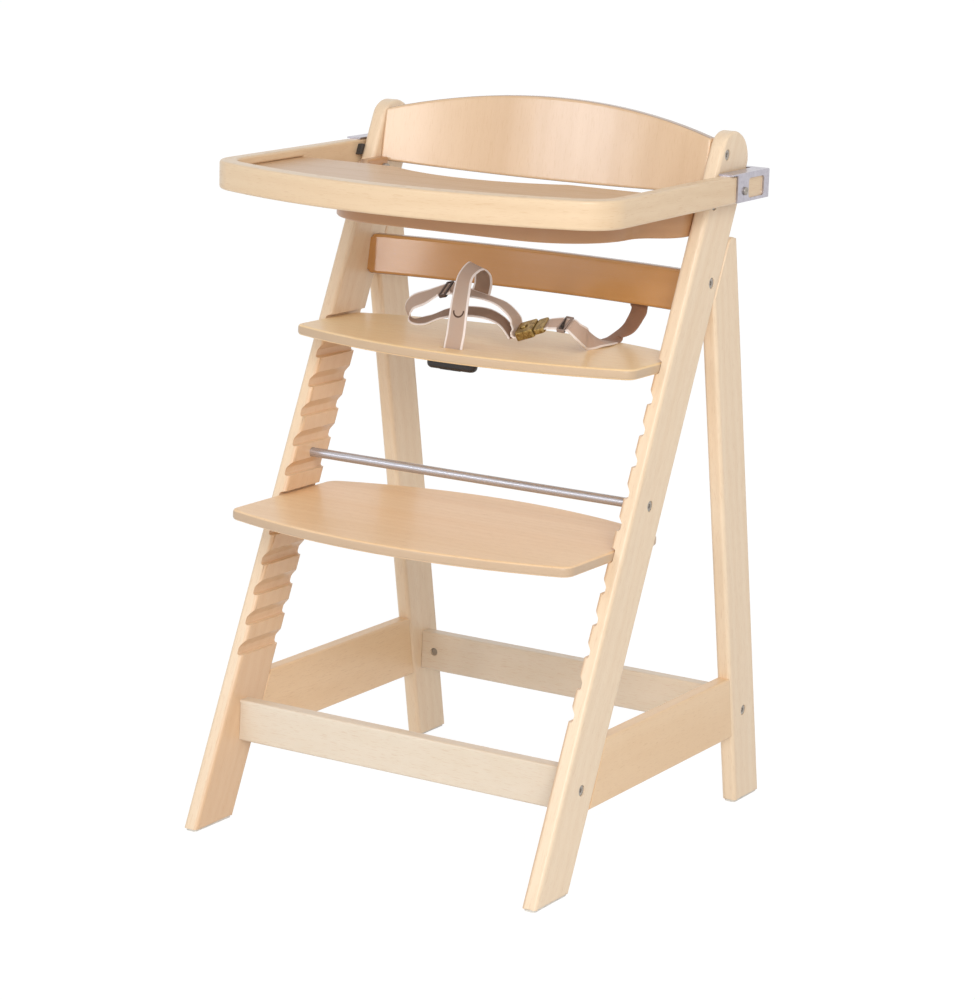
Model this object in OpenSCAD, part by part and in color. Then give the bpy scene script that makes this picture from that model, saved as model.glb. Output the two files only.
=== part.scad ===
// Wooden stair high chair: two leaning grooved legs, two straight rear legs, seat and foot boards
// that slide into the grooves, a lift-off tray on a bent rail and a webbing harness.
// Millimetres, Z up. X runs across the chair, Y runs from front to back.
// The origin is on the floor, in the middle of the footprint.

/* [Frame] */
// Half of the width over the outer faces of the legs
half_width = 230; // [200:1:260]
// Footprint from the front foot's tip to the rear foot's heel
depth = 541; // [500:1:600]
// Thickness of every leg
leg_t = 18; // [16:0.5:22]
// Width of the leaning front leg, square to its length
stile_w = 68; // [60:1:80]
// Lean of the front legs from upright
lean = 24; // [20:0.5:26]
// Length of the front legs along their front edge
stile_len = 887; // [870:1:920]
// Corner radius of the front legs' tops
stile_top_r = 32; // [20:1:33]
// Width of the rear leg, square to its length
rear_w = 62; // [54:1:70]
// Lean of the rear legs from upright
rear_lean = 12; // [8:0.5:14]
// Radius of the rear legs' rounded tops
rear_top_r = 12.5; // [8:0.5:16]
// Rounding of the long edges of the legs
edge_r = 5; // [1:0.5:8]

/* [Stretchers] */
// Thickness of the stretchers
rail_t = 18; // [14:0.5:20]
// Height of the front and rear stretchers
rail_h = 48; // [40:1:60]
// Underside of the front and rear stretchers above the floor
rail_z = 90; // [70:1:120]
// Centre of the front stretcher behind the leg's front edge
front_rail_set = 41; // [30:1:50]
// Centre of the rear stretcher in front of the rear leg's heel edge
rear_rail_set = 33; // [24:1:42]
// Height of the side stretchers
side_h = 74; // [60:1:90]
// Underside of the side stretchers above the floor
side_z = 86; // [70:1:110]
// How far the side stretchers lie inside the legs' faces
side_inset = 0.8; // [0:0.1:2]

/* [Grooves] */
// Height of the lowest ledge
groove_z = 189.5; // [180:0.5:200]
// Step from ledge to ledge
groove_pitch = 32.5; // [30:0.5:35]
// Number of ledges in each front leg
groove_count = 12; // [12:1:13]
// Depth of the grooves into the legs
groove_d = 7; // [5:0.5:9]
// Height of the curved crown above the grooves' walls
groove_crown = 3; // [2:0.5:6]
// Radius of the grooves' lower inner corners
groove_r = 3; // [2:0.5:3]
// Free height above a board in its groove
board_lift = 0.5; // [0.3:0.1:1]
// Free play between a board's edge and its groove, each side
board_play = 0.5; // [0.3:0.1:1]

/* [Boards] */
// Thickness of the seat and foot boards
board_t = 12; // [10:0.5:14]
// Rounding of the boards' edges
board_edge = 3; // [1:0.5:5]
// Ledge that holds the seat, counted from the floor
seat_step = 12; // [11:1:12]
// Front corners of the seat ahead of the legs' front edge
seat_reach = 58; // [50:1:70]
// Straight side of the seat
seat_side = 123; // [116:1:140]
// Bulge of the seat's front edge
seat_bow = 46; // [30:1:60]
// Bulge of the seat's rear edge
seat_rear_bow = 46; // [30:1:50]
// Ledge that holds the foot board, counted from the floor
foot_step = 6; // [4:1:6]
// Front corners of the foot board ahead of the legs' front edge
foot_reach = 93; // [80:1:105]
// Straight side of the foot board
foot_side = 204; // [180:1:215]
// Bulge of the foot board's front edge
foot_bow = 40; // [30:1:55]
// Bulge of the foot board's rear edge
foot_rear_bow = 48; // [30:1:60]
// Radius of the boards' front corners
board_front_r = 16; // [10:1:30]
// Radius of the boards' rear corners
board_rear_r = 20; // [10:1:30]

/* [Backrest] */
// Thickness of the two curved back boards
back_t = 14; // [12:0.5:16]
// Lean of the back boards from upright
back_tilt = 9; // [6:0.5:12]
// Middle of the lower back board's end behind the leg's front edge
back_set = 51; // [46:1:56]
// Depth of the hollow of the back boards
back_hollow = 20; // [10:1:30]
// Underside of the lower back board
lower_back_z = 604; // [596:1:612]
// Height of the lower back board
lower_back_h = 46; // [40:1:54]
// Underside of the upper back board at its ends
upper_back_z = 735; // [730:1:742]
// Height of the upper back board at its ends
upper_back_h = 60; // [54:1:66]
// Rise of the upper back board's arch
upper_back_rise = 27; // [15:1:35]
// Drop of the upper back board's underside in the middle
upper_back_drop = 6; // [2:1:10]

/* [Foot bar] */
// Radius of the steel cross bar
bar_r = 5.5; // [4:0.5:6]
// Ledge above which the cross bar runs, counted from the floor
bar_step = 7; // [7:1:8]
// Cross bar's centre above the ledge below it
bar_up = 21.4; // [21:0.1:25]
// Depth of the cross bar's sockets in the legs
bar_socket = 4; // [2:0.5:5]

/* [Safety rail] */
// Underside of the bent rail that carries the tray
hoop_z = 690; // [684:1:696]
// Thickness of the bent rail
hoop_t = 12; // [10:0.5:14]
// Front of the rail ahead of the legs' front edge at its underside
hoop_reach = 168; // [150:1:180]
// Half of the rail's outer width between its bends
hoop_half = 178; // [165:1:190]
// Radius of the rail's front bends
hoop_r = 84; // [60:1:95]
// Gap between the rail's ends and the upper back board
hoop_gap = 1; // [0.5:0.5:4]
// Rail's bolts behind the legs' front edge
hoop_bolt_set = 12; // [10:1:16]
// Rail's bolts above its underside
hoop_bolt_up = 35; // [12:1:38]

/* [Tray] */
// Underside of the tray's rim
tray_z = 728; // [725:1:731]
// Height of the tray's rim
rim_h = 31; // [28:1:36]
// Thickness of the tray's rim
rim_t = 16; // [12:0.5:17]
// Gap between the legs' outer faces and the tray's arms
arm_gap = 4; // [3:0.5:6]
// Front corners of the tray ahead of the legs' front edge, at the rim's underside
tray_reach = 266; // [250:1:275]
// Bulge of the tray's front
tray_bow = 57; // [40:1:65]
// Radius of the tray's front corners
tray_r = 50; // [24:1:60]
// Thickness of the tray's panel
panel_t = 8; // [5:0.5:10]
// Lip of the rim above the panel
tray_lip = 10; // [6:1:14]
// Depth of the panel's groove in the rim
panel_groove = 4; // [2:0.5:6]
// Radius of the belly cut-out in the panel
belly_r = 205; // [170:1:230]
// Front of the belly cut-out ahead of the legs' front edge, at the rim's underside
belly_reach = 140; // [130:1:150]
// Distance between the panel's corners and the legs' front edge
panel_gap = 66; // [50:1:80]
// Arms of the rim behind the legs' rear edge, at the rim's underside
arm_tail = 20; // [16:1:26]
// How far the tray droops to the front, in degrees
tray_droop = 0.95; // [0:0.05:2]

/* [Tray brackets] */
// Thickness of the bracket sheet
sheet_t = 2; // [1.5:0.1:2.5]
// Length of each bracket's outer plate
bracket_len = 78; // [70:1:90]
// Length of each bracket's top plate
bracket_top = 90; // [80:1:130]
// Play between the brackets and the legs' rear edge
hook_play = 0.5; // [0.3:0.1:1]
// Reach of the brackets' hooks across the legs
hook_reach = 22; // [16:1:26]
// Size of the rubber stops along the arms
stop_len = 5; // [4:1:18]
// Height of the rubber stops
stop_h = 12; // [8:1:20]
// Play between the rubber stops and the legs' front edge
stop_play = 0.4; // [0.3:0.1:1]

/* [Fasteners] */
// Radius of the bolts' shanks
bolt_r = 3; // [2.5:0.5:3.5]
// Radius of the bolts' heads
head_r = 6; // [4.5:0.5:6.5]
// Height of the bolts' heads
head_h = 4.5; // [3:0.5:6]
// How deep the bolt heads lie below the face of the leg
head_sink = 0.8; // [0.3:0.1:1.5]
// Radius of the barrel nuts
nut_r = 5; // [4.5:0.5:5.5]
// Distance from a board's end to its barrel nut
nut_inset = 18; // [14:1:24]
// Radius of the dowels
dowel_r = 4; // [3:0.5:4]
// Depth of the dowels in each piece
dowel_d = 12; // [8:1:14]
// Running clearance of bolts in their holes
bolt_play = 0.2; // [0.1:0.05:0.4]
// Fit clearance of dowels, nuts and pins
fit_play = 0.05; // [0.02:0.01:0.1]

/* [Glides] */
// Height of the glides under the legs
glide_h = 3; // [2:0.5:5]
// Margin between a glide and the edges of its leg
glide_margin = 2; // [1:0.5:4]
// Radius of the glides' pins
glide_pin_r = 1.5; // [1:0.25:2.5]
// Length of the glides' pins
glide_pin = 12; // [8:1:16]

/* [Harness] */
// Width of the webbing
web_w = 24; // [20:1:28]
// Thickness of the webbing
web_t = 1.6; // [1.2:0.1:2]
// Air between the webbing and what it lies on
web_gap = 0.3; // [0.3:0.1:0.8]
// Centre of the crotch strap's slot behind the seat's front edge
slot_set = 30; // [26:1:50]
// Height of the crotch strap's loop above the seat
crotch_h = 89; // [84:1:100]
// Length of the buckle's socket
buckle_len = 22; // [21:1:30]
// Thickness of the buckle
buckle_t = 10; // [9.5:0.5:14]
// Length of the tongue outside the socket
tongue_len = 13; // [12:1:20]
// Travel of the release button
button_travel = 2; // [1:0.5:3]
// Length of the anchor bar under the seat
anchor_len = 62; // [50:1:70]
// Height of the anchor bar
anchor_h = 12; // [11:0.5:14]

/* [Hidden] */

$fn = 48;
wood = [0.91, 0.79, 0.62];
wood_edge = [0.87, 0.73, 0.55];
steel = [0.75, 0.76, 0.78];
black = [0.10, 0.09, 0.09];
cloth = [0.72, 0.65, 0.58];
eps = 0.01;

inner = half_width - leg_t;
mid_leg = half_width - leg_t / 2;
stile_run = stile_w / cos(lean);
rear_run = rear_w / cos(rear_lean);
// front and rear edge of the leaning front legs, and of the rear legs, at a height
function stile_front(z) = -depth / 2 + (z - glide_h) * tan(lean);
function stile_rear(z) = stile_front(z) + stile_run;
function heel(z) = depth / 2 - (z - glide_h) * tan(rear_lean);
function shin(z) = heel(z) - rear_run;
// height at which the rear leg meets the front leg's rear edge
join_z = glide_h + (depth - rear_run - stile_run) / (tan(lean) + tan(rear_lean));
// height at which the two rear edges would meet, and the centre of the rounded top between them
peak_z = glide_h + (depth - stile_run) / (tan(lean) + tan(rear_lean));
peak_y = stile_rear(peak_z);
top_gap = rear_top_r / sin((lean + rear_lean) / 2);
top_turn = (lean - rear_lean) / 2;
top_y = peak_y - top_gap * sin(top_turn);
top_z = peak_z - top_gap * cos(top_turn);

seat_z = groove_z + (seat_step - 1) * groove_pitch;
seat_top = seat_z + board_t;
foot_z = groove_z + (foot_step - 1) * groove_pitch;
board_half = inner + groove_d - board_play;
seat_y = stile_front(seat_z) - seat_reach;
foot_y = stile_front(foot_z) - foot_reach;
groove_h = board_t + board_lift;
bar_z = groove_z + (bar_step - 1) * groove_pitch + bar_up;
bar_y = stile_front(bar_z) + stile_run / 2;

rail_mid = rail_z + rail_h / 2;
front_rail_y = stile_front(rail_mid) + front_rail_set;
rear_rail_y = heel(rail_mid) - rear_rail_set;

lower_bolt_z = lower_back_z + lower_back_h - 12;
lower_pin_z = lower_back_z + 12;
upper_bolt_z = upper_back_z + upper_back_h - 17;
upper_pin_z = upper_back_z + 14;
back_y0 = stile_front(lower_bolt_z) + back_set;
function back_mid(z) = back_y0 + (z - lower_bolt_z) * tan(back_tilt);
back_r = (inner * inner + back_hollow * back_hollow) / (2 * back_hollow);
// depth of the boards' middle at x, behind their ends
function back_off(x) = back_hollow - back_r + sqrt(back_r * back_r - x * x);
function back_bolt(z) = back_mid(z) + back_off(inner - nut_inset) * cos(back_tilt);
function back_pin(z) = back_mid(z) + back_off(inner - dowel_d / 2) * cos(back_tilt);
// place on a back board: across, up along the board and out from its middle
function back_pt(x, s, t, z0) = let (a = asin(x / back_r), y = back_hollow - back_r + (back_r + t) * cos(a))
    [(back_r + t) * sin(a), back_mid(z0) + y * cos(back_tilt) + s * sin(back_tilt),
     z0 - y * sin(back_tilt) + s * cos(back_tilt)];

hoop_top = tray_z + rim_h - tray_lip - panel_t;
hoop_bolt_z = hoop_z + hoop_bolt_up;
hoop_front = stile_front(hoop_z) - hoop_reach;

arm_in = half_width + arm_gap;
arm_out = arm_in + rim_t;
rim_top = tray_z + rim_h;
panel_top = rim_top - tray_lip;
tray_y = stile_front(tray_z) - tray_reach;
arm_end = stile_rear(tray_z) + arm_tail;
hook_y = stile_rear(rim_top + sheet_t) + hook_play;
bracket_end = max(arm_end, hook_y + 8) + sheet_t;

slot_y = seat_y - seat_bow + slot_set;
bolt_len = leg_t - head_sink - head_h + nut_inset + nut_r + 2;
tongue_in = 8;

// arc of a board's edge: points of a circle through both corners, bulging by bow
function arc_r(half, bow) = (half * half + bow * bow) / (2 * bow);
// plan of a board: bowed front and rear edges with rounded corners, counted from its front corners
function bowed_half(half, bow, r, n) =
    let (R = arc_r(half, bow), c = R - bow, x = half - r, y = c - sqrt((R - r) * (R - r) - x * x),
         a = atan2(c - y, x))
    concat([for (i = [0:n]) let (t = -a * i / n) [x + r * cos(t), y + r * sin(t)]],
           [for (i = [1:n]) let (t = a + (90 - a) * i / n) [R * cos(t), c - R * sin(t)]]);
function mirror_x(p) = [for (i = [len(p) - 1:-1:0]) [-p[i][0], p[i][1]]];
function bowed_front(half, bow, r, n) =
    let (h = bowed_half(half, bow, r, n)) concat(h, [for (i = [1:len(h) - 1]) mirror_x(h)[i]]);
function board_plan(half, side, bow, rear_bow, r, rear_r) =
    let (f = bowed_front(half, bow, r, 8), b = bowed_front(half, rear_bow, rear_r, 8))
    concat(f, [for (p = b) [-p[0], side - p[1]]]);

module rounded_bar(w, h, r) {
    square([w - 2 * r, h], center = true);
    square([w, h - 2 * r], center = true);
    for (x = [-1, 1], y = [-1, 1]) translate([x * (w / 2 - r), y * (h / 2 - r)]) circle(r);
}

// pin along X, from x0 to x1
module pin_x(r, x0, x1, y, z, fn = 48) {
    translate([min(x0, x1), y, z]) rotate([0, 90, 0]) cylinder(r = r, h = abs(x1 - x0), $fn = fn);
}

// pin along Y, from y0 to y1
module pin_y(r, x, y0, y1, z) {
    translate([x, max(y0, y1), z]) rotate([90, 0, 0]) cylinder(r = r, h = abs(y1 - y0));
}

// hexagon bolt set into a leg's outer face
module bolt(side, y, z, len = bolt_len) {
    difference() {
        union() {
            pin_x(head_r, side * (half_width - head_sink), side * (half_width - head_sink - head_h), y, z);
            pin_x(bolt_r, side * (half_width - head_sink - head_h + 1),
                  side * (half_width - head_sink - len), y, z);
        }
        pin_x(head_r * 0.46, side * (half_width - head_sink + 1),
              side * (half_width - head_sink - head_h * 0.6), y, z, 6);
    }
}

// hole for that bolt, through the leg
module bolt_hole(side, y, z) {
    pin_x(head_r + bolt_play, side * (half_width + 1), side * (half_width - head_sink - head_h), y, z);
    pin_x(bolt_r + bolt_play, side * (half_width + 1), side * (inner - 1), y, z);
}

// hole for the bolt's end in a piece between the legs
module bolt_bore(side, y, z) {
    pin_x(bolt_r + bolt_play, side * (inner + 1), side * (inner - nut_inset - nut_r - 3), y, z);
}

// space of a dowel across the joint at a leg's inner face
module dowel_x(side, y, z, play = 0) {
    pin_x(dowel_r + play, side * (inner + dowel_d + play), side * (inner - dowel_d - play), y, z);
}

// space of a dowel along Y across a joint at y
module dowel_y(side, y, z, play = 0) {
    pin_y(dowel_r + play, side * mid_leg, y - dowel_d - play, y + dowel_d + play, z);
}

// dowels between a front leg's rear edge and the rear leg's top, square to the front leg
module top_dowels(side, play = 0) {
    for (z = [join_z + 22, join_z + 50])
        translate([side * mid_leg, stile_rear(z), z]) rotate([-90 - lean, 0, 0])
            translate([0, 0, -dowel_d - play]) cylinder(r = dowel_r + play, h = 2 * dowel_d + 2 * play);
}

side_pins = [side_z + 19, side_z + side_h - 19];

// one saw-tooth groove: flat ledge, rounded inner corner, upright wall and curved crown
module groove(side, z) {
    c = groove_d - groove_r;
    plan = concat([[-8, 0]], [for (a = [0:15:90]) [c + groove_r * sin(a), groove_r - groove_r * cos(a)]],
                  [for (a = [0:15:75]) [groove_d * cos(a), groove_h + groove_crown * sin(a)]],
                  [[0, groove_h + groove_crown], [-8, groove_h + groove_crown]]);
    translate([side * inner, stile_rear(z + groove_pitch) + 20, z]) rotate([90, 0, 0])
        linear_extrude(stile_run + 80 + groove_pitch)
            polygon([for (p = plan) [side * p[0], p[1]]]);
}

module front_leg(side) {
    color(wood) difference() {
        translate([side * mid_leg, -depth / 2, glide_h]) rotate([-lean, 0, 0]) intersection() {
            translate([0, stile_w / 2, -60]) linear_extrude(stile_len + 60)
                rounded_bar(leg_t, stile_w, edge_r);
            rotate([90, 0, 90]) translate([0, 0, -leg_t]) linear_extrude(2 * leg_t) {
                translate([0, -60]) square([stile_w, stile_len + 60 - stile_top_r]);
                translate([stile_top_r, 0]) square([stile_w - 2 * stile_top_r, stile_len]);
                for (y = [stile_top_r, stile_w - stile_top_r])
                    translate([y, stile_len - stile_top_r]) circle(stile_top_r);
            }
        }
        translate([-400, -depth / 2 - 100, -200 + glide_h]) cube([800, depth + 200, 200]);
        for (i = [0:groove_count - 1]) groove(side, groove_z + i * groove_pitch);
        bolt_hole(side, front_rail_y, rail_mid);
        bolt_hole(side, back_bolt(lower_bolt_z), lower_bolt_z);
        bolt_hole(side, back_bolt(upper_bolt_z), upper_bolt_z);
        bolt_hole(side, rail_bolt_y, hoop_bolt_z);
        bolt_hole(side, bar_y, bar_z);
        pin_x(bar_r + bolt_play, side * (inner - 1), side * (inner + bar_socket), bar_y, bar_z);
        dowel_x(side, front_rail_y, rail_z + 10, fit_play);
        dowel_x(side, back_pin(lower_pin_z), lower_pin_z, fit_play);
        dowel_x(side, back_pin(upper_pin_z), upper_pin_z, fit_play);
        for (z = side_pins) dowel_y(side, stile_rear(z), z, fit_play);
        top_dowels(side, fit_play);
        glide_pins(side, stile_front(glide_h) + stile_run / 2, fit_play);
    }
}

module rear_leg(side) {
    color(wood) difference() {
        intersection() {
            translate([side * mid_leg, depth / 2, glide_h]) rotate([rear_lean, 0, 0])
                translate([0, -rear_w / 2, -40]) linear_extrude(peak_z + 140)
                    rounded_bar(leg_t, rear_w, edge_r);
            translate([side * mid_leg - leg_t, 0, 0]) rotate([90, 0, 90]) linear_extrude(2 * leg_t)
                polygon(concat([[shin(glide_h) - 20, glide_h], [heel(glide_h) + 20, glide_h]],
                    [[heel(top_z) + 20, top_z - 30],
                     [top_y + rear_top_r * cos(rear_lean), top_z + rear_top_r * sin(rear_lean)]],
                    [for (i = [1:11]) let (a = rear_lean + (180 - lean - rear_lean) * i / 12)
                        [top_y + rear_top_r * cos(a), top_z + rear_top_r * sin(a)]],
                    [[top_y - rear_top_r * cos(lean), top_z + rear_top_r * sin(lean)],
                     [stile_rear(join_z - 60), join_z - 60], [shin(join_z - 60) - 20, join_z - 60]]));
            translate([-half_width - 1, -depth, 0]) cube([2 * half_width + 2, 2 * depth, tray_z - 4]);
        }
        bolt_hole(side, rear_rail_y, rail_mid);
        dowel_x(side, rear_rail_y, rail_z + 10, fit_play);
        for (z = side_pins) dowel_y(side, shin(z), z, fit_play);
        top_dowels(side, fit_play);
        glide_pins(side, heel(glide_h) - rear_run / 2, fit_play);
    }
}

module side_stretcher(side) {
    w = leg_t - 2 * side_inset;
    color(wood_edge) difference() {
        intersection() {
            translate([side * mid_leg, depth, side_z + side_h / 2]) rotate([90, 0, 0])
                linear_extrude(2 * depth) rounded_bar(w, side_h, edge_r / 2);
            translate([side * mid_leg - leg_t, 0, 0]) rotate([90, 0, 90]) linear_extrude(2 * leg_t)
                polygon([[stile_rear(0), 0], [shin(0), 0],
                         [shin(join_z), join_z], [stile_rear(join_z), join_z]]);
        }
        for (z = side_pins) {
            dowel_y(side, stile_rear(z), z, fit_play);
            dowel_y(side, shin(z), z, fit_play);
        }
    }
}

// stretcher between the legs, with its bolt bores and the cross holes of its barrel nuts
module cross_stretcher(y, face) {
    color(wood_edge) difference() {
        translate([-inner, y, rail_mid]) rotate([90, 0, 90]) linear_extrude(2 * inner)
            rounded_bar(rail_t, rail_h, edge_r / 2);
        for (s = [-1, 1]) {
            bolt_bore(s, y, rail_mid);
            dowel_x(s, y, rail_z + 10, fit_play);
            pin_y(nut_r + fit_play, s * (inner - nut_inset),
                  y - face * (rail_t / 2 - 3), y + face * (rail_t / 2 + 1), rail_mid);
        }
    }
}

// barrel nut along Y, its open end flush with the face
module barrel_nut(side, y, len, face) {
    difference() {
        pin_y(nut_r, side * (inner - nut_inset), y - face * len / 2, y + face * len / 2, 0);
        pin_x(bolt_r + fit_play, side * (inner - nut_inset - nut_r - 2),
              side * (inner - nut_inset + nut_r + 2), y, 0);
    }
}

module front_leg_left() { front_leg(-1); }
module front_leg_right() { front_leg(1); }
module rear_leg_left() { rear_leg(-1); }
module rear_leg_right() { rear_leg(1); }
module side_stretcher_left() { side_stretcher(-1); }
module side_stretcher_right() { side_stretcher(1); }
module front_stretcher() { cross_stretcher(front_rail_y, 1); }
module rear_stretcher() { cross_stretcher(rear_rail_y, -1); }

module cross_bar() {
    color(steel) difference() {
        pin_x(bar_r, -inner - bar_socket, inner + bar_socket, bar_y, bar_z);
        for (s = [-1, 1])
            pin_x(bolt_r + fit_play, s * (inner + bar_socket + 1), s * (inner - 30), bar_y, bar_z);
    }
}

// curved board: a slice of a tube, hollow to the front, cut to its outline
module back_board(z0, z1, zr) {
    zc = (z0 + z1) / 2;
    difference() {
        intersection() {
            translate([0, back_mid(zc), zc]) rotate([-back_tilt, 0, 0])
                translate([0, back_hollow - back_r, -150]) difference() {
                    cylinder(r = back_r + back_t / 2, h = 300, $fn = 240);
                    translate([0, 0, -1]) cylinder(r = back_r - back_t / 2, h = 302, $fn = 240);
                }
            translate([-inner, back_mid(zc) - 90, z0 - 60]) cube([2 * inner, 200, z1 - z0 + 160]);
            children();
        }
        for (s = [-1, 1]) {
            bolt_bore(s, back_bolt(zr[0]), zr[0]);
            dowel_x(s, back_pin(zr[1]), zr[1], fit_play);
            translate([0, back_bolt(zr[0]), zr[0]])
                pin_y(nut_r + fit_play, s * (inner - nut_inset), -back_t / 2 + 3, back_t, 0);
        }
    }
}

// outline of the upper board, seen from the front
module upper_outline() {
    rise_r = arc_r(inner, upper_back_rise);
    drop_r = arc_r(inner, upper_back_drop);
    n = 20;
    span = asin(inner / rise_r);
    low = asin(inner / drop_r);
    polygon(concat(
        [for (i = [0:n]) let (a = -span + 2 * span * i / n)
            [rise_r * sin(a), upper_back_z + upper_back_h + upper_back_rise - rise_r * (1 - cos(a))]],
        [for (i = [0:n]) let (a = low - 2 * low * i / n)
            [drop_r * sin(a), upper_back_z - upper_back_drop + drop_r * (1 - cos(a))]]));
}

module upper_backrest() {
    color(wood) back_board(upper_back_z, upper_back_z + upper_back_h, [upper_bolt_z, upper_pin_z])
        translate([0, depth, 0]) rotate([90, 0, 0]) linear_extrude(2 * depth) upper_outline();
}

module lower_backrest() {
    color(wood_edge) difference() {
        back_board(lower_back_z, lower_back_z + lower_back_h, [lower_bolt_z, lower_pin_z])
            translate([0, depth, lower_back_z + lower_back_h / 2]) rotate([90, 0, 0])
                linear_extrude(2 * depth) rounded_bar(2 * inner, lower_back_h, edge_r);
        on_back(rear_x, 30) rotate([-90, 0, 0])
            translate([0, 0, -fit_play]) cylinder(r = 2 + fit_play, h = back_t);
    }
}

module board(side, bow, rear_bow) {
    plan = board_plan(board_half, side, bow, rear_bow, board_front_r, board_rear_r);
    hull() {
        translate([0, 0, board_edge]) linear_extrude(board_t - 2 * board_edge) polygon(plan);
        translate([0, 0, board_edge * 0.3]) linear_extrude(board_t - board_edge * 0.6)
            offset(delta = -board_edge * 0.3) polygon(plan);
        linear_extrude(board_t) offset(delta = -board_edge) polygon(plan);
    }
}

module seat_board() {
    color(wood) difference() {
        translate([0, seat_y, seat_z]) board(seat_side, seat_bow, seat_rear_bow);
        translate([-web_w / 2 - 2, slot_y - 3, seat_z - 1]) cube([web_w + 4, 6, board_t + 2]);
    }
}

module foot_board() {
    color(wood) translate([0, foot_y, foot_z]) board(foot_side, foot_bow, foot_rear_bow);
}

// centre line of the bent rail, right half, from its end on the leg to the middle of its front
hoop_c = hoop_half - hoop_t / 2;
tab_x = inner - hoop_t / 2;
bend_r = 46;
bend_a = acos(1 - (tab_x - hoop_c) / (2 * bend_r));
tab_y0 = back_mid(hoop_top) - back_t / 2 / cos(back_tilt) - hoop_gap;
tab_y1 = stile_front(hoop_z) + 4;
bend_y = tab_y1 - 2 * bend_r * sin(bend_a);
front_c = hoop_front + hoop_t / 2;
function hoop_path() = concat(
    [[tab_x, tab_y0, 0]],
    [for (i = [0:6]) let (a = bend_a * i / 6) [tab_x - bend_r * (1 - cos(a)), tab_y1 - bend_r * sin(a), a]],
    [for (i = [1:6]) let (a = bend_a * (1 - i / 6))
        [hoop_c + bend_r * (1 - cos(a)), bend_y + bend_r * sin(a), a]],
    [for (i = [0:10]) let (a = 90 * i / 10)
        [hoop_c - hoop_r * (1 - cos(a)), front_c + hoop_r - hoop_r * sin(a), a]]);
function shift(p, d) = [p[0] + d * cos(p[2]), p[1] - d * sin(p[2])];
function hoop_side(d) = let (p = hoop_path()) [for (q = p) shift(q, d)];

module safety_rail() {
    out = hoop_side(hoop_t / 2);
    inn = hoop_side(-hoop_t / 2);
    left = [for (p = inn) [-p[0], p[1]]];
    color(wood_edge) difference() {
        // its top follows the underside of the tray's panel
        intersection() {
            translate([0, 0, hoop_z]) linear_extrude(hoop_top - hoop_z + 5)
                polygon(concat(out, mirror_x(out), left, [for (i = [len(inn) - 1:-1:0]) inn[i]]));
            drooped() translate([-half_width, -depth, 0]) cube([2 * half_width, 2 * depth, hoop_top]);
        }
        for (s = [-1, 1])
            pin_x(bolt_r + bolt_play, s * (inner + 1), s * (inner - hoop_t - 1), rail_bolt_y, hoop_bolt_z);
    }
}

rail_bolt_y = stile_front(hoop_bolt_z) + hoop_bolt_set;
tray_plan = bowed_front(arm_out, tray_bow, tray_r, 10);
tray_inner = bowed_front(arm_in, tray_bow * pow(arm_in / arm_out, 2), tray_r - rim_t + 2, 10);

// turn of the whole tray about its arms' rear ends
module drooped() {
    translate([0, arm_end, rim_top]) rotate([tray_droop, 0, 0])
        translate([0, -arm_end, -rim_top]) children();
}

module tray_outline(pts, y) {
    polygon(concat([[pts[0][0], y]], pts, [[-pts[0][0], y]]));
}

module tray_rim() {
    color(wood) drooped() difference() {
        translate([0, tray_y, tray_z]) linear_extrude(rim_h) difference() {
            tray_outline(tray_plan, arm_end - tray_y);
            translate([0, rim_t]) tray_outline(tray_inner, arm_end - tray_y);
        }
        intersection() {
            translate([0, tray_y, panel_top - panel_t]) linear_extrude(panel_t)
                translate([0, rim_t - panel_groove]) tray_outline(panel_plan, arm_end);
            translate([-arm_out, -depth, 0]) cube([2 * arm_out, depth + panel_end, 1000]);
        }
        for (s = [-1, 1]) pin_x(2.5 + fit_play, s * (arm_out + 1), s * (arm_out - 10), screw_y, screw_z);
    }
}

panel_end = stile_front(panel_top - panel_t) - panel_gap;
panel_half = arm_in + panel_groove;
panel_plan = bowed_front(panel_half, tray_bow * pow(panel_half / arm_out, 2),
                         tray_r - rim_t + panel_groove, 10);
belly_y = stile_front(tray_z) - belly_reach + belly_r;

module tray_panel() {
    color(wood) drooped() translate([0, 0, panel_top - panel_t]) difference() {
        linear_extrude(panel_t) intersection() {
            translate([0, tray_y + rim_t - panel_groove]) tray_outline(panel_plan, arm_end);
            translate([-arm_out, -depth]) square([2 * arm_out, depth + panel_end]);
        }
        translate([0, belly_y, -1]) cylinder(r = belly_r, h = panel_t + 2, $fn = 96);
    }
}

screw_y = bracket_end - bracket_len + 18;
screw_z = tray_z + rim_h * 0.42;

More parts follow.
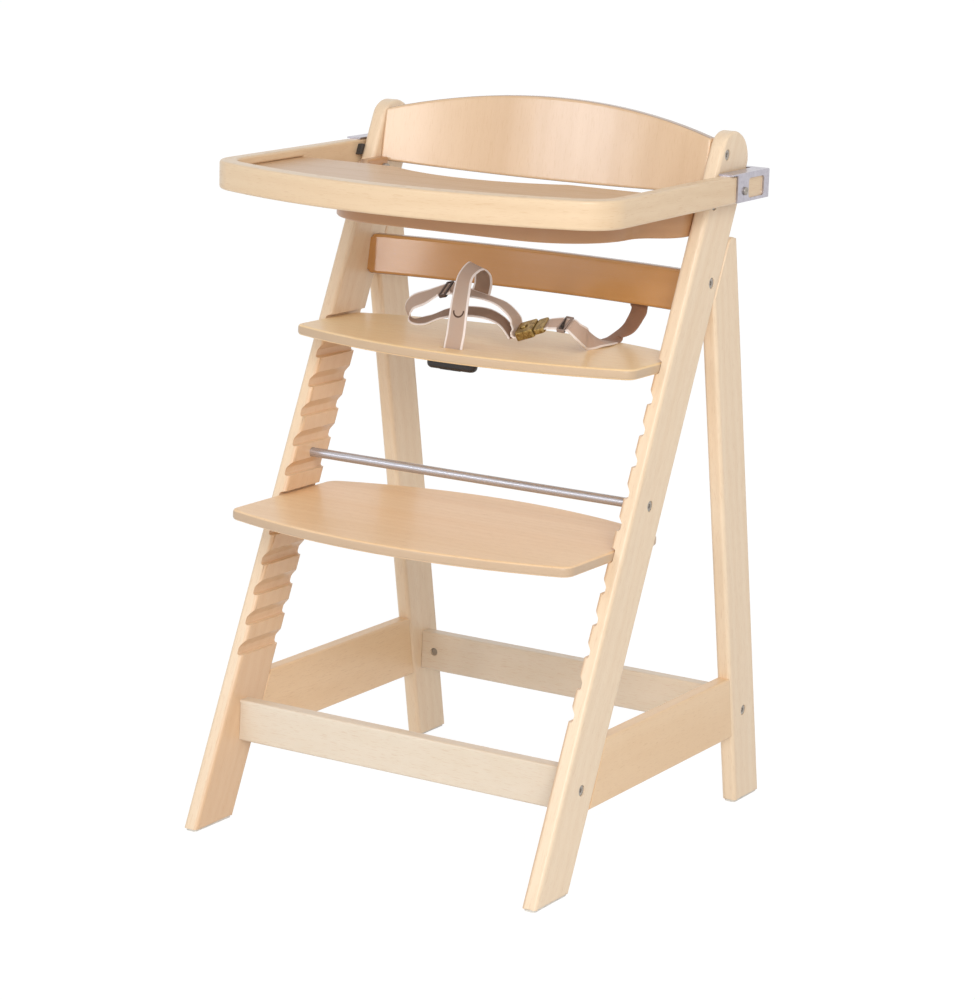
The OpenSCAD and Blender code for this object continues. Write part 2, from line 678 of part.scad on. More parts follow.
module tray_bracket(side) {
    top_y = bracket_end - bracket_top;
    color(steel) drooped() difference() {
        union() {
            // outer plate on the arm's outer face
            translate([side > 0 ? arm_out : -arm_out - sheet_t, bracket_end - bracket_len, tray_z + 1])
                cube([sheet_t, bracket_len, rim_h + sheet_t - 1]);
            // top plate along the arm, widened behind the leg to a hook
            translate([side > 0 ? arm_in : -arm_out - sheet_t, top_y, rim_top])
                cube([rim_t + sheet_t, bracket_top, sheet_t]);
            translate([side > 0 ? half_width - hook_reach : -arm_out - sheet_t, hook_y, rim_top])
                cube([arm_out + sheet_t - half_width + hook_reach, bracket_end - hook_y, sheet_t]);
            // end plate behind the arm and the leg
            translate([side > 0 ? half_width - hook_reach : -arm_out - sheet_t,
                       bracket_end - sheet_t, tray_z + 3])
                cube([arm_out + sheet_t - half_width + hook_reach, sheet_t, rim_h + sheet_t - 3]);
        }
        // window in the outer plate
        translate([side > 0 ? arm_out - 1 : -arm_out - sheet_t - 1,
                   screw_y + bracket_len / 2 - 11, tray_z + rim_h / 2])
            rotate([90, 0, 90]) linear_extrude(sheet_t + 2) rounded_bar(bracket_len - 40, rim_h - 9, 4);
        pin_x(2.5 + bolt_play, side * (arm_out - 1), side * (arm_out + sheet_t + 1), screw_y, screw_z);
    }
}
module tray_bracket_left() { tray_bracket(-1); }
module tray_bracket_right() { tray_bracket(1); }

module bracket_screws() {
    color(steel) drooped() for (s = [-1, 1]) difference() {
        union() {
            pin_x(2.5, s * (arm_out - 9), s * (arm_out + sheet_t + eps), screw_y, screw_z);
            pin_x(4.5, s * (arm_out + sheet_t), s * (arm_out + sheet_t + 2), screw_y, screw_z);
        }
        for (a = [0, 90]) translate([s * (arm_out + sheet_t + 1.6), screw_y, screw_z]) rotate([a, 0, 0])
            cube([1.2, 5, 1], center = true);
    }
}

// rubber block on an arm's inner face, just ahead of the leg's front edge
module tray_stop(side) {
    z0 = rim_top - 6 - stop_h;
    y0 = stile_front(z0) - stop_play;
    y1 = stile_front(z0 + stop_h) - stop_play;
    color(black) translate([side > 0 ? half_width - 3 : -arm_in, 0, 0])
        rotate([90, 0, 90]) linear_extrude(arm_gap + 3)
            polygon([[y0 - stop_len, z0], [y0, z0], [y1, z0 + stop_h], [y1 - stop_len, z0 + stop_h]]);
}
module tray_stop_left() { tray_stop(-1); }
module tray_stop_right() { tray_stop(1); }

module backrest_bolts() {
    color(steel) for (s = [-1, 1]) {
        bolt(s, back_bolt(lower_bolt_z), lower_bolt_z);
        bolt(s, back_bolt(upper_bolt_z), upper_bolt_z);
    }
}
module stretcher_bolts() {
    color(steel) for (s = [-1, 1]) {
        bolt(s, front_rail_y, rail_mid);
        bolt(s, rear_rail_y, rail_mid);
    }
}
module cross_bar_bolts() {
    color(steel) for (s = [-1, 1]) bolt(s, bar_y, bar_z);
}
module safety_rail_bolts() {
    color(steel) for (s = [-1, 1]) bolt(s, rail_bolt_y, hoop_bolt_z, leg_t - head_sink + hoop_t + 3);
}
module backrest_nuts() {
    color(steel) for (s = [-1, 1], z = [lower_bolt_z, upper_bolt_z])
        translate([0, back_bolt(z), z]) barrel_nut(s, 0, back_t - 6, 1);
}
module stretcher_nuts() {
    color(steel) for (s = [-1, 1]) {
        translate([0, 0, rail_mid]) barrel_nut(s, front_rail_y, rail_t - 6, 1);
        translate([0, 0, rail_mid]) barrel_nut(s, rear_rail_y, rail_t - 6, -1);
    }
}
module safety_rail_nuts() {
    color(steel) for (s = [-1, 1]) difference() {
        pin_x(8, s * (inner - hoop_t), s * (inner - hoop_t - 4), rail_bolt_y, hoop_bolt_z);
        pin_x(bolt_r + fit_play, s * (inner - hoop_t + 1), s * (inner - hoop_t - 6),
              rail_bolt_y, hoop_bolt_z);
    }
}
module frame_dowels() {
    color(wood_edge) for (s = [-1, 1]) {
        dowel_x(s, front_rail_y, rail_z + 10);
        dowel_x(s, rear_rail_y, rail_z + 10);
        for (z = side_pins) {
            dowel_y(s, stile_rear(z), z);
            dowel_y(s, shin(z), z);
        }
        top_dowels(s);
    }
}
module backrest_dowels() {
    color(wood_edge) for (s = [-1, 1]) {
        dowel_x(s, back_pin(lower_pin_z), lower_pin_z);
        dowel_x(s, back_pin(upper_pin_z), upper_pin_z);
    }
}

// pins of a glide, in the middle of a foot
module glide_pins(side, y, play = 0) {
    for (d = [-18, 18]) translate([side * mid_leg, y + d, glide_h - eps - play])
        cylinder(r = glide_pin_r + play, h = glide_pin + play);
}
module glide(side, y, run) {
    color([0.86, 0.86, 0.84]) {
        translate([side * mid_leg, y, 0]) linear_extrude(glide_h)
            rounded_bar(leg_t - 2 * glide_margin, run - 2 * glide_margin, 4);
        glide_pins(side, y);
    }
}
module glide_front_left() { glide(-1, stile_front(glide_h) + stile_run / 2, stile_run); }
module glide_front_right() { glide(1, stile_front(glide_h) + stile_run / 2, stile_run); }
module glide_rear_left() { glide(-1, heel(glide_h) - rear_run / 2, rear_run); }
module glide_rear_right() { glide(1, heel(glide_h) - rear_run / 2, rear_run); }

// Webbing: a flat strip that follows key points. Each key is a place and the direction of the
// strip's width. Places are counted from the middle of the slot on the seat's top.
function spline(k, i, t) =
    let (n = len(k), a = k[max(i - 1, 0)], b = k[i], c = k[min(i + 1, n - 1)], d = k[min(i + 2, n - 1)])
    0.5 * ((2 * b) + (c - a) * t + (2 * a - 5 * b + 4 * c - d) * t * t
           + (3 * b - a - 3 * c + d) * t * t * t);
function unit(v) = v / norm(v);
function along(keys, steps) =
    let (p = [for (k = keys) k[0]], w = [for (k = keys) k[1]], n = len(keys))
    concat([for (i = [0:n - 2], s = [0:steps - 1])
                [spline(p, i, s / steps), unit(spline(w, i, s / steps))]],
           [[p[n - 1], unit(w[n - 1])]]);
function ring(pts, i, half, t) =
    let (n = len(pts), d = unit(pts[min(i + 1, n - 1)][0] - pts[max(i - 1, 0)][0]),
         w = half * unit(pts[i][1] - d * (pts[i][1] * d)), u = t / 2 * unit(cross(d, w)), c = pts[i][0])
    [c - w - u, c + w - u, c + w + u, c - w + u];

module webbing(keys, steps = 4) {
    pts = along(keys, steps);
    n = len(pts);
    rings = [for (i = [0:n - 1]) each ring(pts, i, web_w / 2, web_t)];
    walls = [for (i = [0:n - 2], j = [0:3]) let (a = 4 * i + j, b = 4 * i + (j + 1) % 4)
        each [[a, a + 4, b], [b, a + 4, b + 4]]];
    color(cloth) translate([0, slot_y, seat_top])
        polyhedron(points = rings, faces = concat([[0, 1, 2], [0, 2, 3]], walls,
            [[4 * n - 4, 4 * n - 2, 4 * n - 3], [4 * n - 4, 4 * n - 1, 4 * n - 2]]));
}

across = [1, 0, 0];
lie = web_t / 2 + web_gap;
loop_z = crotch_h - web_t / 2;
strap_x = 1.5;
anchor_top = -board_t - 0.1;
anchor_z = anchor_top - anchor_h;
hem_h = 7;
hem_top = anchor_z + hem_h + 1 - web_gap;

// the crotch strap: up through the slot, over in a loop and down behind the waist strap
module crotch_strap() {
    webbing([[[strap_x, 0, hem_top - hem_h + 1], across], [[strap_x, 0, hem_top], across],
             [[strap_x, 0, -board_t], across], [[strap_x, 0, 0], across], [[2, 4, 16], across],
             [[1, 9, 34], [1, -0.05, 0]], [[0, 16, 57], [1, -0.15, 0]],
             [[0, 24, loop_z - 11], [1, -0.25, 0]], [[6, 35, loop_z], [1, -0.25, -0.25]],
             [[6, 50, loop_z - 8], [1, -0.2, -0.1]],
             [[3, 58, loop_z - 21], [1, -0.1, 0]], [[1, 58, 57], across], [[0, 56, 51], across]]);
    // sewn hem, thicker than the bar's slot
    color(cloth) translate([strap_x - web_w / 2, slot_y - 4, seat_top + hem_top - hem_h])
        cube([web_w, 8, hem_h]);
}

// bar under the seat, with a slot for the strap and a pocket for its hem
module anchor_bar() {
    color(black) translate([strap_x, slot_y, seat_top + anchor_z]) difference() {
        linear_extrude(anchor_h) rounded_bar(anchor_len, 16, 7.5);
        translate([-web_w / 2 - 1, -2, -1]) cube([web_w + 2, 4, anchor_h + 2]);
        translate([-web_w / 2 - 1, -5, -1]) cube([web_w + 2, 10, hem_h + 2]);
    }
}

function rot_x(a, v) = [v[0], v[1] * cos(a) - v[2] * sin(a), v[1] * sin(a) + v[2] * cos(a)];
function rot_y(a, v) = [v[0] * cos(a) + v[2] * sin(a), v[1], -v[0] * sin(a) + v[2] * cos(a)];
function rot_z(a, v) = [v[0] * cos(a) - v[1] * sin(a), v[0] * sin(a) + v[1] * cos(a), v[2]];
// a pose is a place, then turn, rise and roll
function turned(p, v) = rot_z(p[1], rot_y(-p[2], rot_x(p[3], v)));
function at(p, v) = p[0] + turned(p, v);
module posed(p) {
    translate([0, slot_y, seat_top] + p[0]) rotate([0, 0, p[1]]) rotate([0, -p[2], 0])
        rotate([p[3], 0, 0]) children();
}

// the buckle hangs between the straps beside the crotch strap, its face turned forward and up
buckle_w = web_w + 4;
buckle = [[82, 42, 27.5], 8, 20, 20];
button_r = 4;
button_at = -buckle_len / 2 - 2.6;

// slot for webbing through the buckle's half that ends at x, dir pointing outwards
module web_slot(x, dir) {
    translate([dir > 0 ? x - 7 : x - 1, -web_w / 2 - 0.4, -web_t / 2 - 0.4])
        cube([8, web_w + 0.8, web_t + 0.8]);
}

module buckle_socket() {
    color([0.55, 0.42, 0.20]) posed(buckle) difference() {
        translate([-buckle_len / 2, 0, -buckle_t / 2]) linear_extrude(buckle_t)
            rounded_bar(buckle_len, buckle_w, 3);
        // mouth for the tongue
        translate([-tongue_in - 1, -web_w / 2 + 3 - web_gap, -2 - web_gap])
            cube([tongue_in + 2, web_w - 6 + 2 * web_gap, 4 + 2 * web_gap]);
        // seat of the button
        translate([button_at, 0, buckle_t / 2 - 3.2]) cylinder(r = button_r + web_gap, h = 5);
        web_slot(-buckle_len, -1);
    }
}
module buckle_tongue() {
    color([0.55, 0.42, 0.20]) posed(buckle) {
        difference() {
            translate([web_gap + tongue_len / 2, 0, -buckle_t / 2 + 2]) linear_extrude(buckle_t - 4)
                rounded_bar(tongue_len, buckle_w, 3);
            web_slot(tongue_len + web_gap, 1);
        }
        translate([-tongue_in, -web_w / 2 + 3, -2]) cube([tongue_in + 1, web_w - 6, 4]);
    }
}
module release_button() {
    color([0.55, 0.42, 0.20]) posed(buckle)
        translate([button_at, 0, buckle_t / 2 - 3 + button_travel]) cylinder(r = button_r, h = 2.5);
}

// flat slide that the webbing runs through
left_slide = [[-34, 41, 57], 2, 14, 27];
right_slide = [[117, 44, 34.5], 6, -4, 24];
slide_l = 9;
slide_h = 4.4;
module strap_slide(p) {
    color(black) posed(p) difference() {
        translate([-slide_l / 2, -web_w / 2 - 2, -slide_h / 2]) cube([slide_l, web_w + 4, slide_h]);
        translate([-slide_l / 2 - 1, -web_w / 2 - 0.6, -web_t / 2 - 0.6])
            cube([slide_l + 2, web_w + 1.2, web_t + 1.2]);
        translate([-slide_l / 2 + 2.5, -web_w / 2 - 0.6, 0]) cube([slide_l - 5, web_w + 1.2, slide_h]);
    }
}
module adjuster_left() { strap_slide(left_slide); }
module adjuster_right() { strap_slide(right_slide); }

// straight run of webbing through a slide or the buckle
function run(p, xs) = [for (x = xs) [at(p, [x, 0, 0]), turned(p, [0, 1, 0])]];
lap = lie + web_t + web_gap;
rear_x = 134;

// the left strap leaves the buckle upwards, passes the crotch strap's loop, turns back in a wide
// bend and returns below itself
module waist_strap_left() {
    webbing(concat(run(buckle, [-buckle_len + 6, -buckle_len + 2, -buckle_len - 2]),
        [[[57.5, 41, 27.5], [0, 0.97, 0.15]], [[54, 41, 37], [0, 1, 0]], [[39, 41, 48], [0, 1, 0]],
         [[20, 41, 53], [0, 1, 0]], [[-4, 41, 56], [0, 1, 0.15]]], run(left_slide, [9, 5, -5, -9]),
        [[[-59, 40, 46], [-0.2, 0.75, 0.6]], [[-77, 40, 38], [-0.5, 0.65, 0.5]],
         [[-83, 40, 28], [-0.7, 0.65, 0.3]], [[-77, 41, 18.5], [-0.6, 0.8, 0.1]],
         [[-58, 41, 20], [-0.25, 0.93, 0.3]], [[-36, 41, 29.5], [0, 0.92, 0.4]],
         [[-12, 41, 35], [0, 0.93, 0.35]], [[14, 41, 36], [0, 0.95, 0.3]], [[32, 41, 32], [0, 1, 0.15]],
         [[44, 41, 25], [0, 1, 0]], [[55, 41, 13], [0, 1, 0]]]), 3);
}
// the right strap drops from the tongue and turns back, its end lying on the rear piece
module waist_strap_right() {
    webbing(concat(run(buckle, [tongue_len - 5, tongue_len + 1, tongue_len + 4]),
        run(right_slide, [-8, -5, 5, 8]),
        [[[131, 49, 27], [-0.25, 0.75, 0.6]], [[127, 70, 19], [-0.35, 0.5, 0.8]],
         [[118, 92, 13], [-0.35, 0.25, 0.9]], [[114.5, 106, 8.5], [-0.87, 0, 0.5]],
         [[114, 117, lap + 0.3], [-1, 0, 0]]]));
}
// the rear piece lies flat on the seat, from that lap back to the rear strap
module waist_strap_rear() {
    webbing([[[114, 110, lie], [-1, 0, 0]], [[113, 130, lie], [-1, 0, 0]], [[109, 168, lie], [-1, 0, 0]]]);
}

// rear strap: from the seat up behind the lower back board, where a screw holds it
function back_key(x, s, t) = [back_pt(x, s, t, lower_back_z) - [0, slot_y, seat_top],
    [cos(asin(x / back_r)), -sin(asin(x / back_r)), 0]];
module rear_strap() {
    t = back_t / 2 + lie;
    difference() {
        webbing([[[109, 160, lap], across], [[109, 167, lap + 0.3], across],
                 [[111, 176, 5.5], [0.85, -0.5, 0.1]], [[124, 182, 17], [0.9, -0.45, -0.1]],
                 [[133, 182.5, 33], [0.93, -0.35, 0]],
                 back_key(rear_x, 2, t + 0.6), back_key(rear_x, 20, t), back_key(rear_x, 40, t)]);
        on_back(rear_x, 30) rotate([-90, 0, 0]) cylinder(r = 2.6, h = 30);
    }
}
module on_back(x, s) {
    translate([0, back_mid(lower_back_z), lower_back_z]) rotate([-back_tilt, 0, 0])
        translate([0, back_hollow - back_r, s]) rotate([0, 0, -asin(x / back_r)])
            translate([0, back_r, 0]) children();
}
module strap_screw() {
    out = back_t / 2 + 2 * web_gap + web_t;
    color(steel) on_back(rear_x, 30) rotate([-90, 0, 0]) {
        cylinder(r = 2, h = out + 1);
        translate([0, 0, out]) cylinder(r = 6, h = 2.5);
    }
}

front_leg_left();
front_leg_right();
rear_leg_left();
rear_leg_right();
side_stretcher_left();
side_stretcher_right();
front_stretcher();
rear_stretcher();
cross_bar();
upper_backrest();
lower_backrest();
seat_board();
foot_board();
safety_rail();
tray_rim();
tray_panel();
tray_bracket_left();
tray_bracket_right();
bracket_screws();
tray_stop_left();
tray_stop_right();
backrest_bolts();
stretcher_bolts();
cross_bar_bolts();
safety_rail_bolts();
backrest_nuts();
stretcher_nuts();
safety_rail_nuts();
frame_dowels();
backrest_dowels();
glide_front_left();
glide_front_right();
glide_rear_left();
glide_rear_right();
crotch_strap();
anchor_bar();
waist_strap_left();
waist_strap_right();
waist_strap_rear();
rear_strap();
strap_screw();
adjuster_left();
adjuster_right();
buckle_socket();
buckle_tongue();
release_button();
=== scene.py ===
import math

import bmesh
import bpy
from mathutils import Matrix, Vector


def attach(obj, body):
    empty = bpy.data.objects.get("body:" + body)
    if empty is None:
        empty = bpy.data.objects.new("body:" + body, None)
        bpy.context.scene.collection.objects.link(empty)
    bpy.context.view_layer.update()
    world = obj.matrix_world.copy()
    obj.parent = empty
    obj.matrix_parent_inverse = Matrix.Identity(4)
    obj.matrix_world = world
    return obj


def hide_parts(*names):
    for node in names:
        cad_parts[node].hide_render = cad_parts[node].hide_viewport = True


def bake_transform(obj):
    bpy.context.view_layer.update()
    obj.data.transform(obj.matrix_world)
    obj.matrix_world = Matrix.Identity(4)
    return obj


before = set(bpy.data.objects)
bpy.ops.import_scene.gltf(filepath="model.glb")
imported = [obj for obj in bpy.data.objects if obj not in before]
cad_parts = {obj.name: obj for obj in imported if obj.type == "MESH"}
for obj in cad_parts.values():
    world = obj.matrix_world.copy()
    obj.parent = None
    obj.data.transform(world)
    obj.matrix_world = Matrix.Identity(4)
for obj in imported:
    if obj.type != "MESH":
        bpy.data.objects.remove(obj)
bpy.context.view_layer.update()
bpy.ops.object.select_all(action="DESELECT")


# Front legs. Two beech planks, 18 mm thick, that lean back 24 degrees, with twelve saw-tooth grooves
# milled across their inner faces. Tops, feet and teeth are rounded over, then all is lacquered satin.
class Socket:
    """One output of a shader node. Sums, products and the like of it are new nodes."""

    def __init__(self, wiring, link):
        self.wiring, self.link = wiring, link

    def _math(self, operation, first, second):
        return self.wiring.node("ShaderNodeMath", {"operation": operation}, {0: first, 1: second})

    def __add__(self, other):
        return self._math("ADD", self, other)

    def __radd__(self, other):
        return self._math("ADD", other, self)

    def __sub__(self, other):
        return self._math("SUBTRACT", self, other)

    def __rsub__(self, other):
        return self._math("SUBTRACT", other, self)

    def __mul__(self, other):
        return self._math("MULTIPLY", self, other)

    def __pow__(self, other):
        return self._math("POWER", self, other)

    def sine(self):
        return self._math("SINE", self, 0)

    def size(self):
        return self._math("ABSOLUTE", self, 0)

    def over(self, limit, soft=0.0):
        """1 above the limit and 0 below it, with a smooth step of that half width in between."""
        if not soft:
            return self._math("GREATER_THAN", self, limit)
        return self.wiring.node("ShaderNodeMapRange", {"interpolation_type": "SMOOTHSTEP"},
                                {"Value": self, "From Min": limit - soft, "From Max": limit + soft})


class Wiring:
    """A tree of shader nodes, and the one way in which its nodes are made and wired."""

    def __init__(self, tree):
        self.tree = tree

    def node(self, kind, settings=None, inputs=None, output=0):
        """A new node. Its settings are set first, then its inputs get their values or links."""
        made = self.tree.nodes.new(kind)
        for key, value in (settings or {}).items():
            setattr(made, key, value)
        for key, value in (inputs or {}).items():
            if isinstance(value, Socket):
                self.tree.links.new(value.link, made.inputs[key])
            else:
                made.inputs[key].default_value = value
        return Socket(self, made.outputs[output])


class Finish(Wiring):
    """A material and the nodes that drive its shader. Fixed values go on the shader itself."""

    def __init__(self, name, **fixed):
        self.material = bpy.data.materials.new(name)
        self.material.use_nodes = True
        super().__init__(self.material.node_tree)
        self.shader = self.tree.nodes["Principled BSDF"]
        for socket, value in fixed.items():
            self.shader.inputs[socket.replace("_", " ")].default_value = value

    def mix(self, share, first, second):
        """The first colour where the share is 0, and the second where it is 1."""
        first = (*first, 1) if isinstance(first, tuple) else first
        second = (*second, 1) if isinstance(second, tuple) else second
        return self.node("ShaderNodeMix", {"data_type": "RGBA"}, {0: share, 6: first, 7: second}, 2)

    def noise(self, vector, scale, detail=2.0, rough=0.5):
        """Soft patches. Three scales stretch them along the axis with the smallest one."""
        if isinstance(scale, tuple):
            vector = self.node("ShaderNodeVectorMath", {"operation": "MULTIPLY"}, {0: vector, 1: scale})
            scale = 1.0
        return self.node("ShaderNodeTexNoise", {}, {"Vector": vector, "Scale": scale, "Detail": detail,
                                                    "Roughness": rough})

    def split(self, vector):
        """The vector's x, y and z."""
        parts = self.node("ShaderNodeSeparateXYZ", {}, {0: vector}).link.node.outputs
        return [Socket(self, part) for part in parts]

    def place(self):
        """The spot on the object, in metres."""
        return self.node("ShaderNodeTexCoord", output="Object")

    def faces(self):
        """The direction that the surface faces."""
        return self.node("ShaderNodeNewGeometry", output="Normal")

    def drive(self, socket, value):
        self.tree.links.new(value.link, self.shader.inputs[socket])

    def bump(self, height, strength, depth):
        self.drive("Normal", self.node("ShaderNodeBump", {}, {"Height": height, "Strength": strength,
                                                              "Distance": depth}))


def srgb(red, green, blue):
    """A colour as a screen shows it, 0 to 255, in linear light."""
    return tuple(((part / 255 + 0.055) / 1.055) ** 2.4 for part in (red, green, blue))


def beech(name, along, seed, light=(241, 219, 190), dark=(227, 197, 162), coat=0.3, smooth=0.22,
          bent=False):
    """Lacquered beech whose grain runs along the given direction, or around the bend of a bent strip."""
    finish = Finish(name, Coat_Weight=coat, Coat_Roughness=smooth,
                    Specular_IOR_Level=0.15 if coat > 0.7 else 0.4)
    turn = Vector(along).rotation_difference(Vector((1, 0, 0))).to_euler()
    board = finish.node("ShaderNodeMapping", {}, {"Vector": finish.place(), "Rotation": turn,
                                                  "Location": (seed * 1.7, seed * 0.9, seed * 2.3)})
    warp = finish.node("ShaderNodeVectorMath", {"operation": "SCALE"},
                       {0: finish.noise(board, (3, 9, 9)), "Scale": 0.035})
    wavy = finish.node("ShaderNodeVectorMath", {"operation": "ADD"}, {0: board, 1: warp})
    rings = finish.node("ShaderNodeTexWave", {"bands_direction": "Z" if bent else "Y"}, {
        "Vector": wavy, "Scale": 22.0, "Distortion": 2.5, "Detail": 3.0, "Detail Scale": 1.4})
    streak = finish.noise(board, (2.2, 2.2 if bent else 60, 60), 4.0)
    broad = finish.noise(board, (0.9, 7, 7))
    flecks = finish.noise(board, (75, 75 if bent else 1300, 1300), 2.0, 0.6).over(0.62, 0.05)
    share = rings * 0.18 + streak * 0.6 + broad * 0.5 - 0.24
    base = finish.mix(share, srgb(*light), srgb(*dark))
    finish.base = finish.mix(flecks * 0.25, base, srgb(196, 150, 108))
    finish.drive("Base Color", finish.base)
    finish.drive("Roughness", 0.38 + streak * 0.12 + flecks * 0.08)
    finish.bump(streak * 0.6 - flecks * 0.8 + rings * 0.2, 0.12, 0.0006)
    return finish


def eased(node, body, finish, radius, share=None, segments=3, corner=30, reshape=None, smooth=40):
    """A copy of the node's mesh with rounded edges. Edges sharper than the corner angle get the radius,
    times the share that the piece's own rule gives them, and reshape moves single spots first."""
    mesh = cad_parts[node].data.copy()
    piece = bpy.data.objects.new(node + "_piece", mesh)
    bpy.context.scene.collection.objects.link(piece)
    bpy.ops.object.select_all(action="DESELECT")
    piece.select_set(True)
    bpy.context.view_layer.objects.active = piece
    bpy.ops.object.mode_set(mode="EDIT")
    bpy.ops.mesh.select_all(action="SELECT")
    bpy.ops.mesh.remove_doubles(threshold=0.00001)
    bpy.ops.mesh.dissolve_limited(angle_limit=math.radians(0.6), use_dissolve_boundaries=False)
    bpy.ops.object.mode_set(mode="OBJECT")
    shape = bmesh.new()
    shape.from_mesh(mesh)
    if reshape:
        for vert in shape.verts:
            vert.co = reshape(vert.co)
    shape.normal_update()
    weight = shape.edges.layers.float.new("bevel_weight_edge")
    for edge in shape.edges:
        if len(edge.link_faces) == 2 and edge.calc_face_angle(0) > math.radians(corner):
            first, second = (face.normal for face in edge.link_faces)
            middle = (edge.verts[0].co + edge.verts[1].co) / 2
            edge[weight] = share(middle, edge.calc_length(), first, second) if share else 1.0
    shape.to_mesh(mesh)
    shape.free()
    bevel = piece.modifiers.new("edges", "BEVEL")
    bevel.width = radius
    bevel.segments = segments
    bevel.limit_method = "WEIGHT"
    bevel.use_clamp_overlap = False
    bevel.loop_slide = False
    bpy.ops.object.modifier_apply(modifier="edges")
    bpy.ops.object.shade_smooth_by_angle(angle=math.radians(smooth))
    flat = piece.modifiers.new("flat", "WEIGHTED_NORMAL")
    flat.keep_sharp = True
    bpy.ops.object.modifier_apply(modifier="flat")
    mesh.materials.clear()
    mesh.materials.append(finish.material)
    piece.select_set(False)
    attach(piece, body)
    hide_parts(node)
    return piece


lean, slope = math.radians(24), 0.445229
inner_face, near = 0.212, 0.0005
first_ledge, ledge_step, groove_deep = 0.1895, 0.0325, 0.007
groove_low, groove_high = 0.18, 0.58
bar_low, bar_high = 0.3985, 0.4125


def front_leg_edges(middle, length, first, second):
    """The teeth are rounded along their tips alone. Their outlines stay sharp, and so does the tooth with
    the cross bar's hole, because their many short edges would fold a rounding over itself."""
    grooved = groove_low < middle.z < groove_high
    if length < 0.001 and (max(abs(first.x), abs(second.x)) > 0.99 or not grooved):
        return 0.0
    inside = abs(abs(middle.x) - inner_face) < near
    if inside and bar_low < middle.z < bar_high and not 0.004 < length < 0.05:
        return 0.03
    if not grooved:
        return 0.6 if middle.z < 0.01 else 1.0
    if length < 0.05:
        return 0.0
    return 0.6 if inside else 0.12


def rounder_groove(spot):
    """Gives the crown of each groove without a board the long round slope of the real one."""
    ledge, up = divmod(spot.z - first_ledge + near / 10, ledge_step)
    deep = abs(spot.x) - inner_face
    crown = 0.0124 < up < 0.01568 and -0.0001 < deep < groove_deep + 0.0001
    if ledge in (5, 11) or not 0 <= ledge < 12 or not crown:
        return spot
    rise = 0.0081 if ledge == 6 else 0.0093
    share = max(1 - deep / groove_deep, 0) ** 0.75
    lift = first_ledge + ledge_step * ledge + 0.0075 + rise * share - spot.z
    return spot + Vector((0, lift * slope, lift))


for number, name in enumerate(("left", "right")):
    grain = beech("beech_front_leg_" + name, (0, math.sin(lean), math.cos(lean)), 1.3 + number)
    across, _, level = grain.split(grain.place())
    facing, _, _ = grain.split(grain.faces())
    # Painted shade: below the seat, the faces that turn inwards between the legs get a darker orange beech
    # for the shade under the seat.
    painted_inner_shade = (across * facing * -4.7).over(0.35, 0.35) * (1 - level.over(0.56, 0.02))
    grain.drive("Base Color", grain.mix(painted_inner_shade * 0.4, grain.base, srgb(206, 152, 100)))
    eased("front_leg_" + name, "frame", grain, 0.003, front_leg_edges, segments=5,
          reshape=rounder_groove, smooth=22)


# Rear legs. Two straight beech planks that lean forward 12 degrees and are dowelled to the front
# legs' rear edges, with a rounded top and the same rounded long edges.
def long_edges(middle, length, first, second):
    """Full rounding, but none on the short edges that make up a curve."""
    return 0.0 if length < 0.0011 else 1.0


rear_lean = math.radians(12)
for number, name in enumerate(("left", "right")):
    grain = beech("beech_rear_leg_" + name, (0, -math.sin(rear_lean), math.cos(rear_lean)), 4.1 + number)
    eased("rear_leg_" + name, "frame", grain, 0.0018, long_edges)

# Side stretchers. Broad beech boards that join a front leg to a rear leg just above the floor, each on
# two dowels at either end.
for number, name in enumerate(("left", "right")):
    seed = 7.7 + 1.9 * number
    grain = beech("beech_side_stretcher_" + name, (0, 1, 0), seed, (240, 209, 170), (226, 188, 144))
    eased("side_stretcher_" + name, "frame", grain, 0.0015, long_edges)

# Front and rear stretchers. Flat beech rails across the chair, each held by a bolt and a dowel at
# either end. The bolt's barrel nut sits in a cross hole that opens to the inside.
for number, name in enumerate(("front_stretcher", "rear_stretcher")):
    seed = 11.3 + 1.9 * number
    grain = beech("beech_" + name, (1, 0, 0), seed, (231, 218, 200), (219, 199, 172))
    eased(name, "frame", grain, 0.0015, long_edges)

# Dowels. Fluted beech pegs, 8 mm thick, glued into both pieces of each joint. Once the chair is
# together they are out of sight.
for number, name in enumerate(("frame_dowels", "backrest_dowels")):
    grain = beech("beech_" + name, (1, 0, 0), 15.9 + number, (232, 204, 166), (214, 178, 134), coat=0.0)
    eased(name, "frame", grain, 0.0005)


# Bolts and barrel nuts of the stretchers. Socket head bolts of zinc plated steel, sunk into the legs'
# outer faces, and turned barrel nuts. The plating is a little cloudy and the sockets are darker.
def plated(name, tint, cloud, rough, metallic=1.0):
    """Zinc plating with soft clouds and faint turning marks."""
    finish = Finish(name, Metallic=metallic)
    clouds = finish.noise(finish.place(), 260.0, 3.0)
    marks = finish.noise(finish.place(), (900, 240, 900), 2.0)
    finish.drive("Base Color", finish.mix(clouds, srgb(*tint), srgb(*cloud)))
    finish.drive("Roughness", rough + clouds * 0.16 - marks * 0.06)
    finish.bump(marks * 0.5 + clouds * 0.4, 0.10, 0.0002)
    return finish


bolt_zinc = plated("bolt_zinc", (188, 180, 170), (138, 130, 122), 0.34, 0.5)
for name in ("stretcher_bolts", "stretcher_nuts"):
    eased(name, "frame", bolt_zinc, 0.0006)

